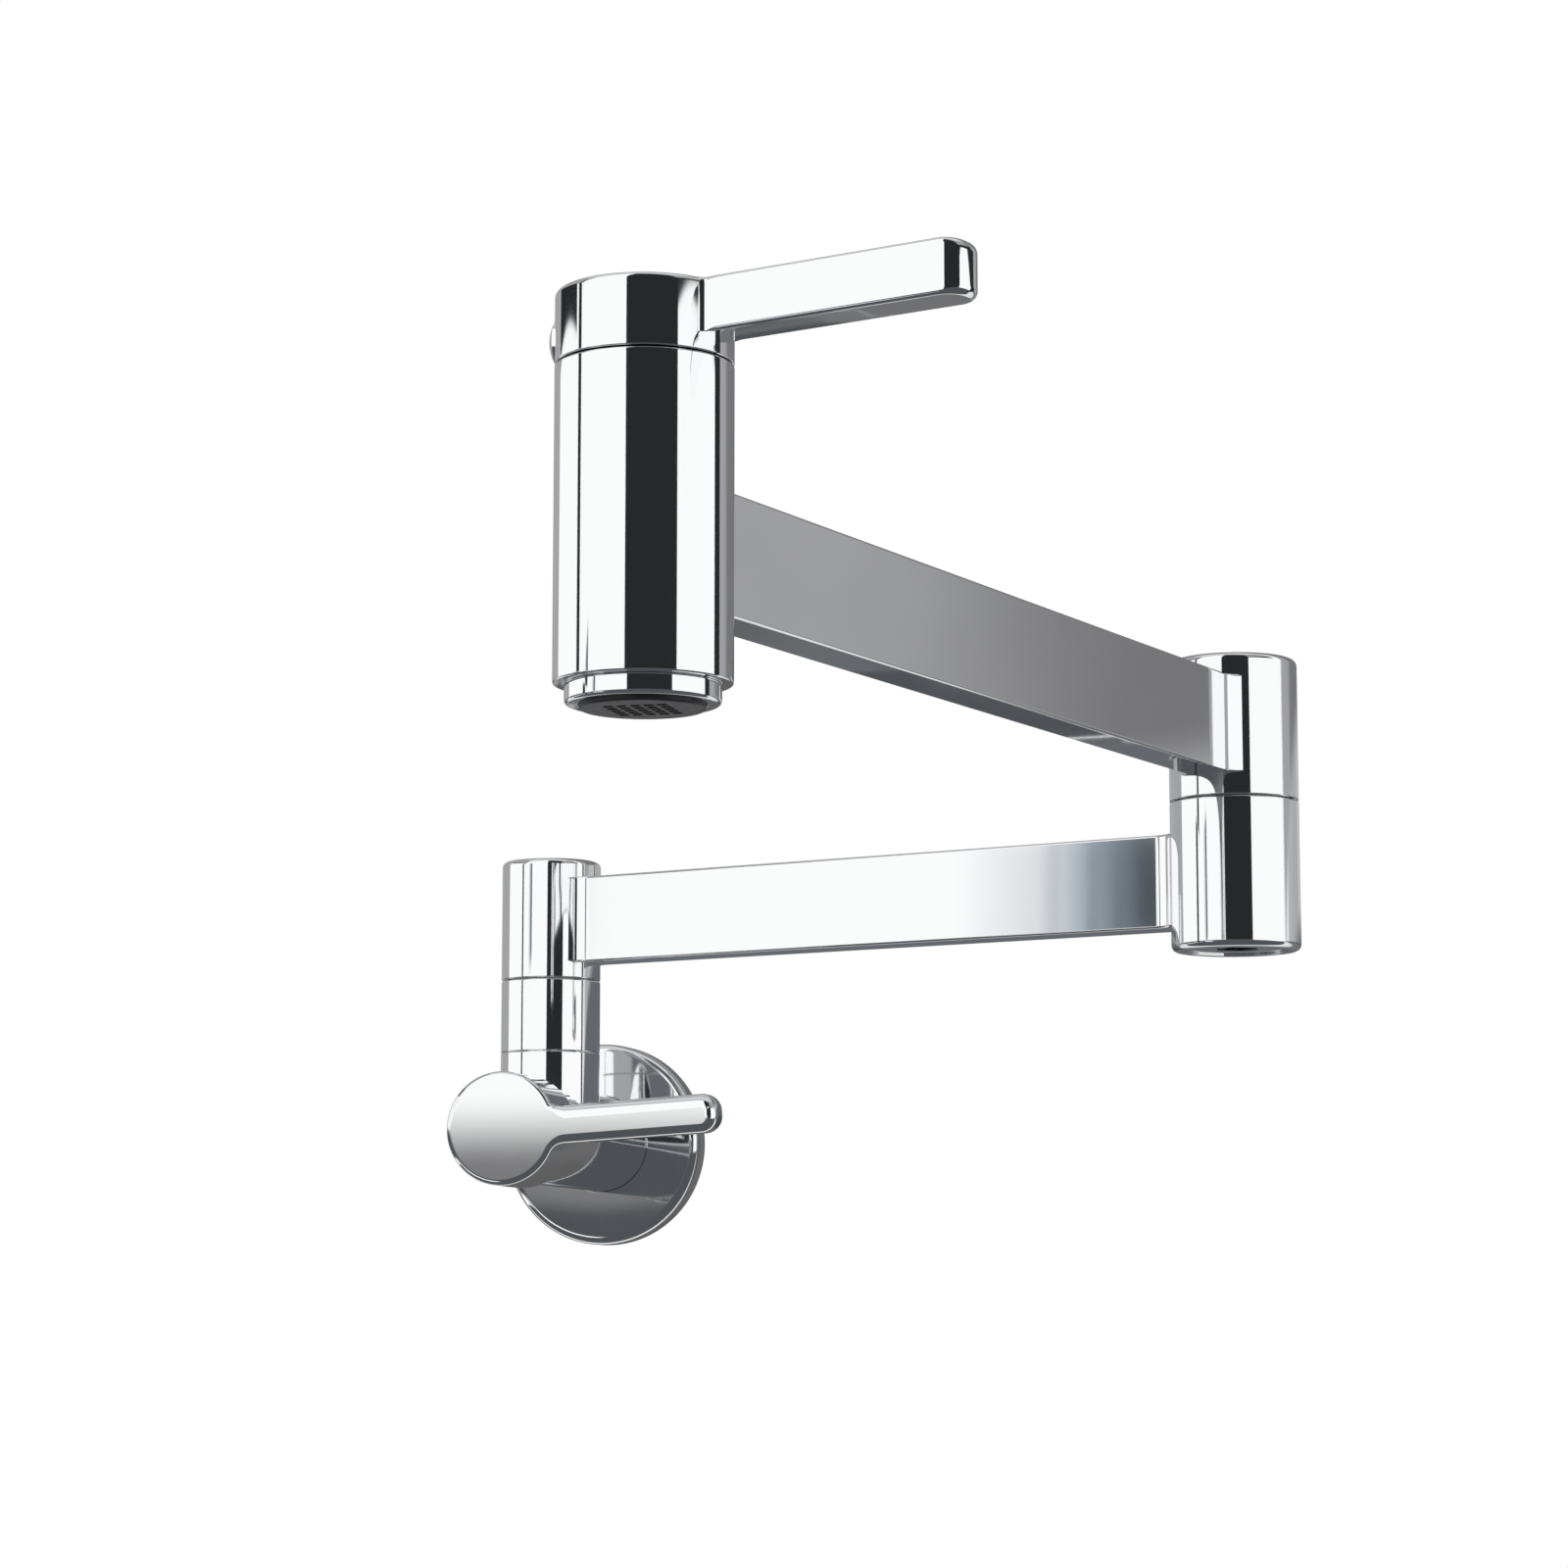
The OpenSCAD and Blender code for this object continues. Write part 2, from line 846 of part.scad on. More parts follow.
// Outline of the spout lever seen from above: a bar with round corners and a blend on each side
module spout_lever_plan() {
    half = spout_lever_w / 2;
    reach = half + lever_blend;
    root_r = spout_r - blend_sink;
    root_k = root_r / (root_r + lever_blend);
    blend_x = sqrt(pow(root_r + lever_blend, 2) - pow(reach, 2));
    square_end = spout_reach - lever_end_r;
    difference() {
        union() {
            polygon([
                [0, -half], root_k * [blend_x, -reach], [blend_x, -half], [square_end, -half],
                [square_end, half], [blend_x, half], root_k * [blend_x, reach], [0, half]
            ]);
            for (side = [-1, 1])
                translate([square_end, side * (half - lever_end_r)]) circle(r = lever_end_r);
            translate([square_end - lever_end_r, lever_end_r - half])
                square([2 * lever_end_r, spout_lever_w - 2 * lever_end_r]);
        }
        for (side = [-1, 1])
            translate([blend_x, side * reach]) circle(r = lever_blend);
    }
}

module spout_lever() {
    low = cap_seam + face_gap;
    color("gainsboro")
        at_spout()
            rotate([0, 0, spout_turn])
                difference() {
                    union() {
                        post(spout_r, low, cap_top, seam_edge, post_edge);
                        translate([0, 0, cap_top - spout_lever_h])
                            linear_extrude(spout_lever_h) spout_lever_plan();
                    }
                    lever_room(spout_r - cap_wall, low, cap_top - cap_roof);
                    rotate([0, 0, button_turn]) {
                        translate([0, 0, spout_screw_z])
                            rotate([0, 90, 0]) cylinder(r = grub_r + grub_hole_gap, h = spout_d);
                        translate([spout_r - button_depth, 0, spout_screw_z])
                            rotate([0, 90, 0]) cylinder(r = button_r, h = button_depth + cut);
                    }
                }
}

module spout_lever_screw() {
    color("dimgray")
        at_spout()
            rotate([0, 0, spout_turn + button_turn])
                translate([0, 0, spout_screw_z]) grub(spline_r);
}

// Button over the screw: a shallow dome on a short plug
module spout_lever_button() {
    dome_r = (pow(button_r, 2) + pow(button_proud, 2)) / (2 * button_proud);
    color("gainsboro")
        at_spout()
            rotate([0, 0, spout_turn + button_turn])
                translate([spout_r - button_depth, 0, spout_screw_z])
                    rotate([0, 90, 0])
                        intersection() {
                            cylinder(r = button_r, h = button_depth + button_proud);
                            translate([0, 0, button_depth + button_proud - dome_r]) sphere(r = dome_r);
                        }
}

module aerator_washer() {
    color("black")
        at_spout()
            ring(outlet_thread_r, insert_d / 2 - insert_rim, spout_bottom + outlet_thread_h,
                 spout_bottom + outlet_thread_h + outlet_washer_h);
}

module aerator_housing() {
    ring_top = spout_bottom;
    color("gainsboro")
        at_spout()
            difference() {
                union() {
                    post(outlet_d / 2, ring_top - outlet_h, ring_top, 0.8, seam_edge);
                    ring(outlet_thread_r, 0, ring_top - cut, ring_top + outlet_thread_h);
                }
                translate([0, 0, ring_top - outlet_h - cut])
                    cylinder(r = insert_d / 2, h = outlet_h + outlet_thread_h + 2 * cut);
            }
}

module aerator_insert() {
    low = spout_bottom - outlet_h - insert_proud;
    room_r = insert_d / 2 - insert_rim;
    steps = floor(room_r / mesh_pitch);
    color("#202020")
        at_spout()
            difference() {
                post(insert_d / 2, low, low + insert_h, 0.6, 0.2);
                translate([0, 0, low + mesh_t]) cylinder(r = room_r, h = insert_h);
                for (i = [-steps : steps], k = [-steps : steps])
                    if (norm([i, k]) * mesh_pitch + mesh_hole < room_r)
                        translate([i * mesh_pitch - mesh_hole / 2, k * mesh_pitch - mesh_hole / 2, low - cut])
                            cube([mesh_hole, mesh_hole, mesh_t + 2 * cut]);
            }
}

wall_flange();
flange_gasket();
flange_oring();
valve_body();
inlet_strainer();
wall_seat_seal();
wall_cartridge_body();
wall_fixed_disc();
wall_cartridge_oring();
wall_moving_disc();
wall_stem();
wall_stem_oring();
wall_stem_clip();
wall_lever();
wall_lever_screw();
swivel_collar();
shoulder_spindle();
shoulder_orings();
shoulder_bush();
shoulder_washer();
shoulder_nut();
shoulder_sleeve();
shoulder_cap();
lower_arm_bar();
elbow_lower_sleeve();
elbow_base_plug();
elbow_spindle();
elbow_orings();
elbow_bush();
elbow_washer();
elbow_nut();
elbow_upper_sleeve();
elbow_cap();
upper_arm_bar();
spout_body();
spout_seat_seal();
spout_cartridge_body();
spout_fixed_disc();
spout_cartridge_oring();
spout_moving_disc();
spout_stem();
spout_stem_oring();
spout_stem_clip();
spout_lever();
spout_lever_screw();
spout_lever_button();
aerator_washer();
aerator_housing();
aerator_insert();
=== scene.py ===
# %% [markdown]
# # Folding wall tap in chrome
#
# The piece is a cold water tap for the wall behind a cooker or sink. A round barrel stands out
# from the wall and carries a post. From the post swings a flat arm, from that arm's end a second
# one, and at its free end hangs the spout with a lever of its own.
#
# Nearly everything that shows is polished chrome. Chrome has no colour of its own, so two things
# make the picture: surfaces that are smooth to the last thousandth, and a room worth reflecting.
# The shapes are therefore written as formulas on grids of points, and the room is a set of pale
# and dark cards that only the reflections see.

# %% Load the frame
import json
from math import atan2, cos, degrees, radians, sin, sqrt

import bpy
import numpy as np
from mathutils import Euler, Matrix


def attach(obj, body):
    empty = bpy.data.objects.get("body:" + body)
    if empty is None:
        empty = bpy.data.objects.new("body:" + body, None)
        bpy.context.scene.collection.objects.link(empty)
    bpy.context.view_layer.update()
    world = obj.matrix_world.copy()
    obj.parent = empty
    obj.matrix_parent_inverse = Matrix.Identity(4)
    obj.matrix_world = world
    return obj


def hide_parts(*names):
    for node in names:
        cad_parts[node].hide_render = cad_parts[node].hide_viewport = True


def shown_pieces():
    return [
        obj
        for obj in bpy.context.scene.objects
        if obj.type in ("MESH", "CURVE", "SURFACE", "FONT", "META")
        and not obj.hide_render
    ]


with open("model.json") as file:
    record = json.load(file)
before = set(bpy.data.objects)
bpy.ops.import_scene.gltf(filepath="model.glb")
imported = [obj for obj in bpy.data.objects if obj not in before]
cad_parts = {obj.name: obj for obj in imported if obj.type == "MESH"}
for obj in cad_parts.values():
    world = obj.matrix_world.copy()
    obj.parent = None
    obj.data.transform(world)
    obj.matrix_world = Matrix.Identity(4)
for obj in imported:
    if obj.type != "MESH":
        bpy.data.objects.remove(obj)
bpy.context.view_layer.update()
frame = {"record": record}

# %% [markdown]
# ## Sizes
#
# All sizes are in millimetres until a mesh is made, because a tap is drawn in millimetres and the
# numbers stay easy to read. The three upright axes follow from the lengths and directions of the
# two arms. The wall's face is the plane y = 0, and the tap stands out towards minus y.

# %% Sizes and axes
MM = 0.001
AROUND = 192

POST_R, ELBOW_R, SPOUT_R = 13.5, 16.0, 17.0
SEAM_EDGE, POST_EDGE = 0.35, 1.6
SHOULDER_OUT = 56.0
LOWER_LEN, UPPER_LEN = 206.0, 282.0
LOWER_TURN, UPPER_TURN = -17.0, -105.0
SPOUT_TURN, WALL_TILT = -18.0, 3.5
BAR_HALF, BAR_BLEND, BAR_EDGE, ROOT_DEPTH = 5.5, 7.0, 0.6, 0.6


def ahead(origin, length, turn):
    """The point at a length from origin, in a direction in degrees from +x."""
    return np.array(origin) + length * np.array([cos(radians(turn)), sin(radians(turn))])


SHOULDER = np.array([0.0, -SHOULDER_OUT])
ELBOW = ahead(SHOULDER, LOWER_LEN, LOWER_TURN)
SPOUT = ahead(ELBOW, UPPER_LEN, UPPER_TURN)
print("axes at", SHOULDER, ELBOW.round(2), SPOUT.round(2))

# %% [markdown]
# ## From grids of points to a mesh
#
# Every piece is one or more grids. A grid is an array of points in rows and columns, and each
# little square between four neighbours becomes a face. Where grids share points, or where a row
# shrinks to a single point, the welding step below finds equal points with `np.unique` and gives
# them one number, so seams and poles close without any search by hand. A square that has lost a
# corner becomes a triangle, and one that has lost two is left out.
#
# Smooth shading alone would bend the reflection on flat faces, because a vertex on a rounded edge
# takes its normal from both sides. The Weighted Normal modifier lets the largest face win. A flat
# side then mirrors as a flat side, and the rounding alone turns the light.

# %% Mesh from grids
WELD = 1e-7
CREASE = radians(32)


def quads(grid, start):
    """Four point numbers for each face of a grid; more than two columns close on themselves."""
    rows, columns = grid.shape[:2]
    number = start + np.arange(rows * columns).reshape(rows, columns)
    if columns > 2:
        number = np.hstack([number, number[:, :1]])
    corners = [number[:-1, :-1], number[:-1, 1:], number[1:, 1:], number[1:, :-1]]
    return np.stack(corners, -1).reshape(-1, 4)


def mesh_of(name, grids):
    """A mesh from grids in metres: equal points are welded, and faces turned to the outside."""
    starts = np.cumsum([0] + [g.shape[0] * g.shape[1] for g in grids])
    points = np.concatenate([g.reshape(-1, 3) for g in grids])
    faces = np.concatenate([quads(g, s) for g, s in zip(grids, starts)])
    _, first, number = np.unique(
        np.round(points / WELD), axis=0, return_index=True, return_inverse=True)
    points, faces = points[first], number.reshape(-1)[faces]
    kept = faces != np.roll(faces, 1, axis=1)
    kept[kept.sum(1) < 3] = False
    faces, kept = faces[kept.any(1)], kept[kept.any(1)]
    a, b, c, d = (points[faces[:, k]] for k in range(4))
    volume = (np.einsum("ij,ij->i", a, np.cross(b, c)) + np.einsum("ij,ij->i", a, np.cross(c, d))).sum()
    if volume < 0:
        faces, kept = faces[:, ::-1], kept[:, ::-1]
    counts, corners = kept.sum(1), faces[kept]
    mesh = bpy.data.meshes.new(name)
    mesh.vertices.add(len(points))
    mesh.vertices.foreach_set("co", points.astype(np.float32).ravel())
    mesh.loops.add(len(corners))
    mesh.loops.foreach_set("vertex_index", corners.astype(np.int32))
    mesh.polygons.add(len(counts))
    mesh.polygons.foreach_set("loop_start", (np.cumsum(counts) - counts).astype(np.int32))
    mesh.update(calc_edges=True)
    mesh.validate()
    mesh.shade_smooth()
    mesh.set_sharp_from_angle(angle=CREASE)
    return mesh


def loose_edges(mesh):
    """How many edges don't have exactly two faces, which is none in a closed mesh."""
    edge = np.empty(len(mesh.loops), np.int32)
    mesh.loops.foreach_get("edge_index", edge)
    return int((np.bincount(edge, minlength=len(mesh.edges)) != 2).sum())


def piece(node, body, grids):
    """A new object that stands for a CAD node of the same name and moves with its body."""
    mesh = mesh_of(node + "_shape", grids)
    made = bpy.data.objects.new(node + "_shape", mesh)
    bpy.context.scene.collection.objects.link(made)
    normals = made.modifiers.new("flat faces stay flat", "WEIGHTED_NORMAL")
    normals.keep_sharp = True
    normals.weight = 100
    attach(made, body)
    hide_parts(node)
    print(f"{made.name}: {len(mesh.polygons)} faces, {loose_edges(mesh)} open edges")


# %% [markdown]
# ## Outlines
#
# A turned part needs only the outline of half its section. `rounded` takes the corners a
# draughtsman would write down and replaces each by an arc that touches both of its sides. The arc
# swings between two directions from its centre, and all corners are done at once on arrays.

# %% Outlines, turning and placing
NEARLY_ZERO, SAME_POINT = 1e-9, 1e-6


def arc(centre, radius, start, end, steps):
    """Points of an arc: centre plus radius times cosine and sine of an angle in degrees."""
    t = np.radians(np.linspace(start, end, steps + 1))
    return np.array(centre) + radius * np.stack([np.cos(t), np.sin(t)], -1)


def rounded(corners, steps=6):
    """A closed outline through corners (x, y, radius), each one an arc that touches its two sides."""
    p, radius = np.array(corners, float)[:, :2], np.array(corners, float)[:, 2:]
    back, on = np.roll(p, 1, 0) - p, np.roll(p, -1, 0) - p
    back /= np.linalg.norm(back, axis=1, keepdims=True)
    on /= np.linalg.norm(on, axis=1, keepdims=True)
    half = np.arccos(np.clip((back * on).sum(1, keepdims=True), -1, 1)) / 2
    middle = (back + on) / np.maximum(np.linalg.norm(back + on, axis=1, keepdims=True), NEARLY_ZERO)
    centre = p + middle * radius / np.sin(half)
    first = p + back * radius / np.tan(half) - centre
    last = p + on * radius / np.tan(half) - centre
    swing = (np.pi - 2 * half)[:, None]
    t = np.linspace(0, 1, steps + 1)[None, :, None]
    turn = np.sin((1 - t) * swing) * first[:, None] + np.sin(t * swing) * last[:, None]
    points = (centre[:, None] + turn / np.sin(swing)).reshape(-1, 2)
    apart = np.linalg.norm(points - np.roll(points, 1, 0), axis=1) > SAME_POINT
    return points[apart]


def turned(outline, steps=AROUND):
    """Surface of revolution: (r, z) at angle t becomes (r cos t, r sin t, z)."""
    t = np.linspace(0, 2 * np.pi, steps, endpoint=False)
    r, z = outline[:, :1], outline[:, 1:]
    return np.stack([r * np.cos(t), r * np.sin(t), z + 0 * t], -1)


def ring(outline):
    """A turned ring: the outline goes once round, so its first row is used again as the last."""
    grid = turned(outline)
    return np.concatenate([grid, grid[:1]])


def upright(grid, axis, turn=0.0):
    """Turns a grid by degrees about z, stands it on an axis (x, y), and goes over to metres."""
    c, s = cos(radians(turn)), sin(radians(turn))
    x, y, z = grid[..., 0], grid[..., 1], grid[..., 2]
    return MM * np.stack([axis[0] + c * x - s * y, axis[1] + s * x + c * y, z], -1)


def from_wall(grid, tilt=0.0):
    """Lays a grid down so that its z axis points out of the wall, and goes over to metres."""
    c, s = cos(radians(tilt)), sin(radians(tilt))
    x, y, z = grid[..., 0], grid[..., 1], grid[..., 2]
    return MM * np.stack([c * x - s * y, -z, s * x + c * y], -1)


def sleeve(r, low, high, low_edge, high_edge, inner):
    """Outline of a post: the outer wall with its two edges, then the inner corners on the way back."""
    return rounded([(r, low, low_edge), (r, high, high_edge), *inner])


# %% [markdown]
# ## Turned pieces
#
# The posts are plain tubes, and what makes them look real is at their ends. Where two pieces turn
# on each other there are two small roundings and a gap of 0.3 mm, which reads as one fine dark
# line with a bright rim. Where a post ends freely the rounding is larger, and a thin lid sits
# just below the rim. The corners listed on the way back are the bore, which is wider at the ends
# where something else sits in it.

# %% Turned pieces
STUB_TOP, COLLAR_TOP, SHOULDER_TOP = 22.4, 42.0, 75.0
ELBOW_LOW, ELBOW_SEAM, ELBOW_TOP = 40.2, 77.2, 112.9
SPOUT_LOW, CAP_SEAM, CAP_TOP = 66.7, 127.3, 141.6
GAP = 0.3

collar = sleeve(POST_R, STUB_TOP, COLLAR_TOP, SEAM_EDGE, SEAM_EDGE,
                [(9.5, COLLAR_TOP, 0.1), (9.5, STUB_TOP, 0.1)])
shoulder = sleeve(POST_R, COLLAR_TOP + GAP, SHOULDER_TOP, SEAM_EDGE, POST_EDGE,
                  [(11.45, SHOULDER_TOP, 0.15), (11.45, 67.5, 0), (9.05, 67.5, 0), (9.05, 44, 0),
                   (12.05, 44, 0), (12.05, COLLAR_TOP + GAP, 0)])
elbow_lower = sleeve(ELBOW_R, ELBOW_LOW, ELBOW_SEAM, POST_EDGE, SEAM_EDGE,
                     [(11.0, ELBOW_SEAM, 0.1), (11.0, 68, 0), (10.0, 68, 0), (10.0, 44.7, 0),
                      (12.55, 44.7, 0), (12.55, ELBOW_LOW, 0.2)])
elbow_upper = sleeve(ELBOW_R, ELBOW_SEAM + GAP, ELBOW_TOP, SEAM_EDGE, POST_EDGE,
                     [(12.95, ELBOW_TOP, 0.15), (12.95, 105.4, 0), (10.55, 105.4, 0),
                      (10.55, 79.2, 0), (13.55, 79.2, 0), (13.55, ELBOW_SEAM + GAP, 0)])
spout = sleeve(SPOUT_R, SPOUT_LOW, CAP_SEAM, SEAM_EDGE, SEAM_EDGE,
               [(11.0, CAP_SEAM, 0.1), (11.0, 88, 0), (5.5, 88, 0), (5.5, 78.2, 0),
                (13.6, 78.2, 0), (13.6, SPOUT_LOW, 0.1)])
for node, body, outline, axis in [
        ("swivel_collar", "wall_valve", collar, SHOULDER),
        ("shoulder_sleeve", "lower_arm", shoulder, SHOULDER),
        ("elbow_lower_sleeve", "lower_arm", elbow_lower, ELBOW),
        ("elbow_upper_sleeve", "upper_arm", elbow_upper, ELBOW),
        ("spout_body", "upper_arm", spout, SPOUT)]:
    piece(node, body, [upright(ring(outline), axis)])

LID_H, LID_SINK = 2.4, 0.4
for node, body, r, top, axis in [
        ("shoulder_cap", "lower_arm", 11.4, SHOULDER_TOP - LID_SINK, SHOULDER),
        ("elbow_cap", "upper_arm", 12.9, ELBOW_TOP - LID_SINK, ELBOW)]:
    lid = rounded([(0, top - LID_H, 0), (r, top - LID_H, 0.2), (r, top, 0.6), (0, top, 0)])
    piece(node, body, [upright(turned(lid), axis)])

# %% [markdown]
# ## Cover plate, outlet and plug
#
# The cover plate is a shallow dish with its rim turned back to the wall. The outlet ring is a step
# smaller than the spout and holds the dark insert. The plug under the elbow has a six sided hole
# for a key: the same rows of points as in a turned part, but the inner rows take their radius
# from the distance of a hexagon's edge at each angle.

# %% Cover plate, outlet ring and elbow plug
FLANGE_R, FLANGE_DEPTH = 28.5, 8.2
RIM_IN, GASKET_IN = FLANGE_R - 2.5, FLANGE_R - 5.9
plate = rounded([
    (13.55, 1, 0.1), (17, 1, 0.2), (17, 5.7, 1), (GASKET_IN, 5.7, 0.4), (GASKET_IN, 2.4, 0),
    (RIM_IN, 2.4, 0), (RIM_IN, 0, 0.2), (FLANGE_R, 0, 0.3), (FLANGE_R, FLANGE_DEPTH, 2.4),
    (13.55, FLANGE_DEPTH, 0.3),
    (13.55, 5.2, 0), (15.05, 5.2, 0), (15.05, 2.8, 0), (13.55, 2.8, 0)], steps=8)
piece("wall_flange", "wall_valve", [from_wall(ring(plate))])

OUTLET_R, OUTLET_H = 14.8, 3.9
outlet_low = SPOUT_LOW - OUTLET_H
outlet = rounded([
    (12.05, outlet_low, 0.25), (OUTLET_R, outlet_low, 0.8), (OUTLET_R, SPOUT_LOW, 0.35),
    (13.55, SPOUT_LOW, 0), (13.55, 76, 0.3), (12.05, 76, 0.2)])
piece("aerator_housing", "upper_arm", [upright(ring(outlet), SPOUT)])

PLUG_R, PLUG_LOW, PLUG_H, KEY_HALF, KEY_DEPTH = 12.45, ELBOW_LOW + 0.5, 4.0, 5.0, 2.4
around = np.linspace(0, 2 * np.pi, AROUND, endpoint=False)
to_edge = 1 / np.cos((around + np.pi / 6) % (np.pi / 3) - np.pi / 6)
plug = turned(rounded([(8, PLUG_LOW, 0), (PLUG_R, PLUG_LOW, 0.4),
                       (PLUG_R, PLUG_LOW + PLUG_H, 0.1), (0, PLUG_LOW + PLUG_H, 0)]))
key = turned(np.array([(0, PLUG_LOW + KEY_DEPTH), (KEY_HALF, PLUG_LOW + KEY_DEPTH),
                       (KEY_HALF, PLUG_LOW + 0.3), (KEY_HALF + 0.3, PLUG_LOW)]))
key[..., :2] *= to_edge[None, :, None]
piece("elbow_base_plug", "lower_arm", [upright(np.concatenate([key, plug]), ELBOW)])

# %% [markdown]
# ## The barrel and its stub
#
# Two tubes of the same radius R meet at a right angle, and the line where they meet lies in two
# slanted planes. At angle t round the stub the barrel's top is at the height R times the size of
# sin t, so the stub's first row is known without cutting anything. Seen from the barrel, the same
# line is R cos t away from the stub's axis on the upper half, and on the lower half nothing is cut
# away. Both grids use the same angles, so their points are equal and weld.

# %% Barrel with stub
HUB_R, HUB_OUT, HUB_LEN, INLET_R = 15.0, 99.0, 19.7, 9.3
BARREL_END, SEAT = HUB_OUT - HUB_LEN - GAP, HUB_OUT - 57
mouth = rounded([
    (POST_R, BARREL_END, SEAM_EDGE), (11, BARREL_END, 0.1), (11, SEAT, 0), (5.5, SEAT, 0),
    (5.5, 20.4, 0), (7.6, 20.4, 0), (7.6, 18, 0), (INLET_R, 18, 0), (INLET_R, 0, 0.4),
    (POST_R, 0, 0.2)])
barrel = turned(mouth)
foot = POST_R * np.maximum(np.sin(around), 0)
wall = np.stack([POST_R * np.cos(around), POST_R * np.sin(around)], -1)
front = np.concatenate([wall, (SHOULDER_OUT + foot)[:, None]], -1)
rear = np.concatenate([wall, (SHOULDER_OUT - foot)[:, None]], -1)
barrel = np.concatenate([front[None], barrel, rear[None]])

stub = turned(rounded([(POST_R, 0, 0), (POST_R, STUB_TOP, SEAM_EDGE), (9.5, STUB_TOP, 0.1),
                       (9.5, 13.2, 0), (0, 13.2, 0)]))
stub[0, :, 2] = POST_R * np.abs(np.sin(around))
piece("valve_body", "wall_valve", [from_wall(barrel), upright(stub, SHOULDER)])

# %% [markdown]
# ## The flat arms
#
# Seen from above, an arm is a straight bar whose sides swing out in a hollow blend of 7 mm and
# touch the round post. The centre of that blend lies one post radius plus one blend radius from
# the post's axis, which gives its place by Pythagoras. `slab` takes such an outline together
# with its normals. Each row of the rounded edge is the outline moved inwards along the normals, so
# the edge stays equally wide round every bend.

# %% Arms
EDGE_STEPS, BLEND_STEPS = 6, 20


def edge_rows(outline, normal, low, high, edge):
    """Rows up a wall whose two edges are quarter circles, moved inwards along the normals."""
    t = np.radians(np.linspace(90, 0, EDGE_STEPS + 1))[:, None]
    inward = (edge * (1 - np.cos(t)))[..., None]
    flat = outline[None] - inward * normal[None]
    rise = edge * (1 - np.sin(t)) + 0 * flat[..., 0]
    lower = np.concatenate([flat, (low + rise)[..., None]], -1)
    upper = np.concatenate([flat, (high - rise)[..., None]], -1)[::-1]
    return np.concatenate([lower, upper])


def slab(side, normal, low, high, edge):
    """A bar that is the same on both sides of its axis: walls with rounded edges, and two flat faces."""
    mirror = np.array([1, -1])
    outline = np.concatenate([side * mirror, side[::-1]])
    walls = edge_rows(outline, np.concatenate([normal * mirror, normal[::-1]]), low, high, edge)
    count = len(side)
    under, over = walls[0], walls[-1]
    under = np.stack([under[:count], under[count:][::-1]], 1)
    over = np.stack([over[count:][::-1], over[:count]], 1)
    return [walls, under, over]


def arm_side(length, start_r, end_r):
    """Points and normals along one side of an arm, whose ends sink ROOT_DEPTH into the two posts."""
    reach = BAR_HALF + BAR_BLEND
    points, normals = [], []
    for r, at, way in [(start_r, 0, 1), (end_r, length, -1)]:
        centre = np.array([sqrt((r + BAR_BLEND) ** 2 - reach ** 2), reach])
        touch = degrees(atan2(centre[1], centre[0])) + 180
        blend = arc(centre, BAR_BLEND, touch, 270, BLEND_STEPS)
        out = (centre - blend) / BAR_BLEND
        blend = np.concatenate([blend[:1] * (1 - ROOT_DEPTH / r), blend])
        out = np.concatenate([out[:1], out])
        points.append((blend * [way, 1] + [at, 0])[::way])
        normals.append((out * [way, 1])[::way])
    return np.concatenate(points), np.concatenate(normals)


for node, body, axis, turn, length, radii, middle, height in [
        ("lower_arm_bar", "lower_arm", SHOULDER, LOWER_TURN, LOWER_LEN, (POST_R, ELBOW_R), 58.2, 23.4),
        ("upper_arm_bar", "upper_arm", ELBOW, UPPER_TURN, UPPER_LEN, (ELBOW_R, SPOUT_R), 95.0, 24.4)]:
    side, normal = arm_side(length, *radii)
    grids = slab(side, normal, middle - height / 2, middle + height / 2, BAR_EDGE)
    piece(node, body, [upright(g, axis, turn) for g in grids])

# %% [markdown]
# ## The levers
#
# A lever is a round cap with a bar that grows out of its rim. Every point of its outline can be
# seen from the cap's axis, so the whole casting is one grid: a column for each point of the
# outline, and rows that start inside the cap, go down its wall, run out along the underside of
# the bar, climb round it and end on the axis at the top. Where the outline is the cap's own
# circle, the rows of the underside fall together and the welding drops them.

# %% Outline and grid of a lever
CAP_STEPS, HOLLOW_STEPS, SIDE_STEPS, TIP_STEPS = 150, 14, 10, 8
FLAT_RIM, ROOF, ROOT_LEN = 0.35, 5.4, 3.0


